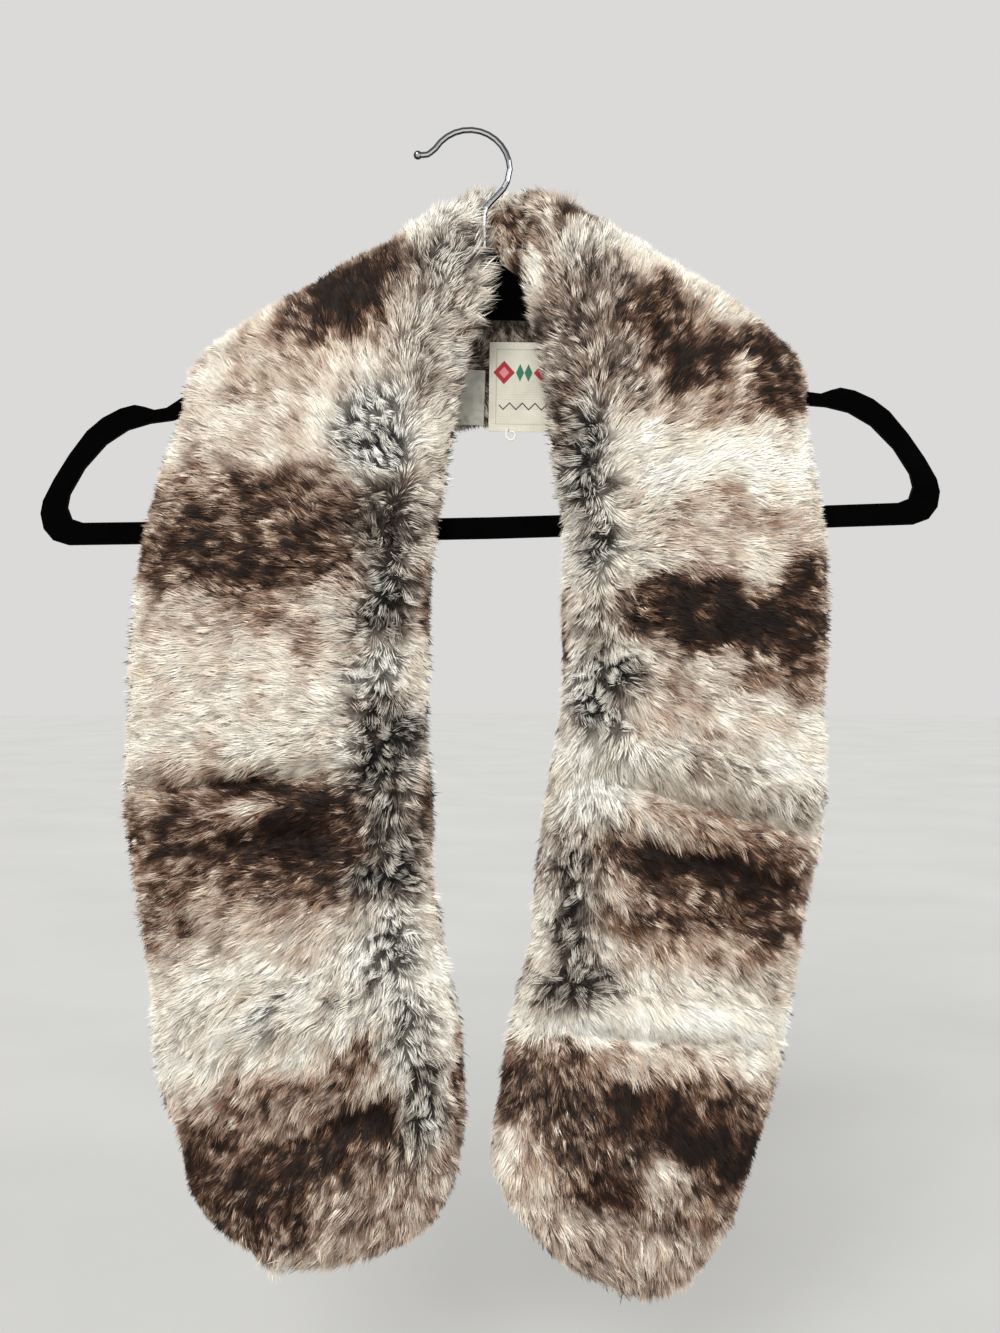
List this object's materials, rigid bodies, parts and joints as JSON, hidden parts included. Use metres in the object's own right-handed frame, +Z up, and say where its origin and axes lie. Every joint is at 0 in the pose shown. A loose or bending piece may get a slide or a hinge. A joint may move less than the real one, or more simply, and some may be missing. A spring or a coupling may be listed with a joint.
{
  "type": "fur collar wrap on hanger",
  "caption": "Long flat tube of long-pile fur folded over a flat flocked hanger: a band behind the neck and two rounded lapels in front, with sewn labels.",
  "frame": {"origin": "inside top of the hook, where it rests on what holds it", "axes": "+Z up, +X to the viewer's right as the front is seen, -Y out of the front and +Y towards the wall"},
  "size_m": [0.4458, 0.0642, 0.5725],
  "materials": {
    "fur": "long cut pile, mottled cream, pink-tan and dark brown with grey-black tips",
    "woven_label": "matt woven label",
    "satin_label": "satin ribbon",
    "thread": "plain sewing thread",
    "black_flock": "matt black flock over moulded plastic",
    "hook_wire": "bright chrome plating"
  },
  "bodies": {
    "root": {"left_front_fur": "fur", "left_back_fur": "fur", "neck_outer_fur": "fur", "neck_inner_fur": "fur", "right_front_fur": "fur", "right_back_fur": "fur", "woven_label": "woven_label", "care_label": "satin_label", "thread_loop": "thread", "hanger_body": "black_flock", "hook": "hook_wire"}
  },
  "joints": []
}
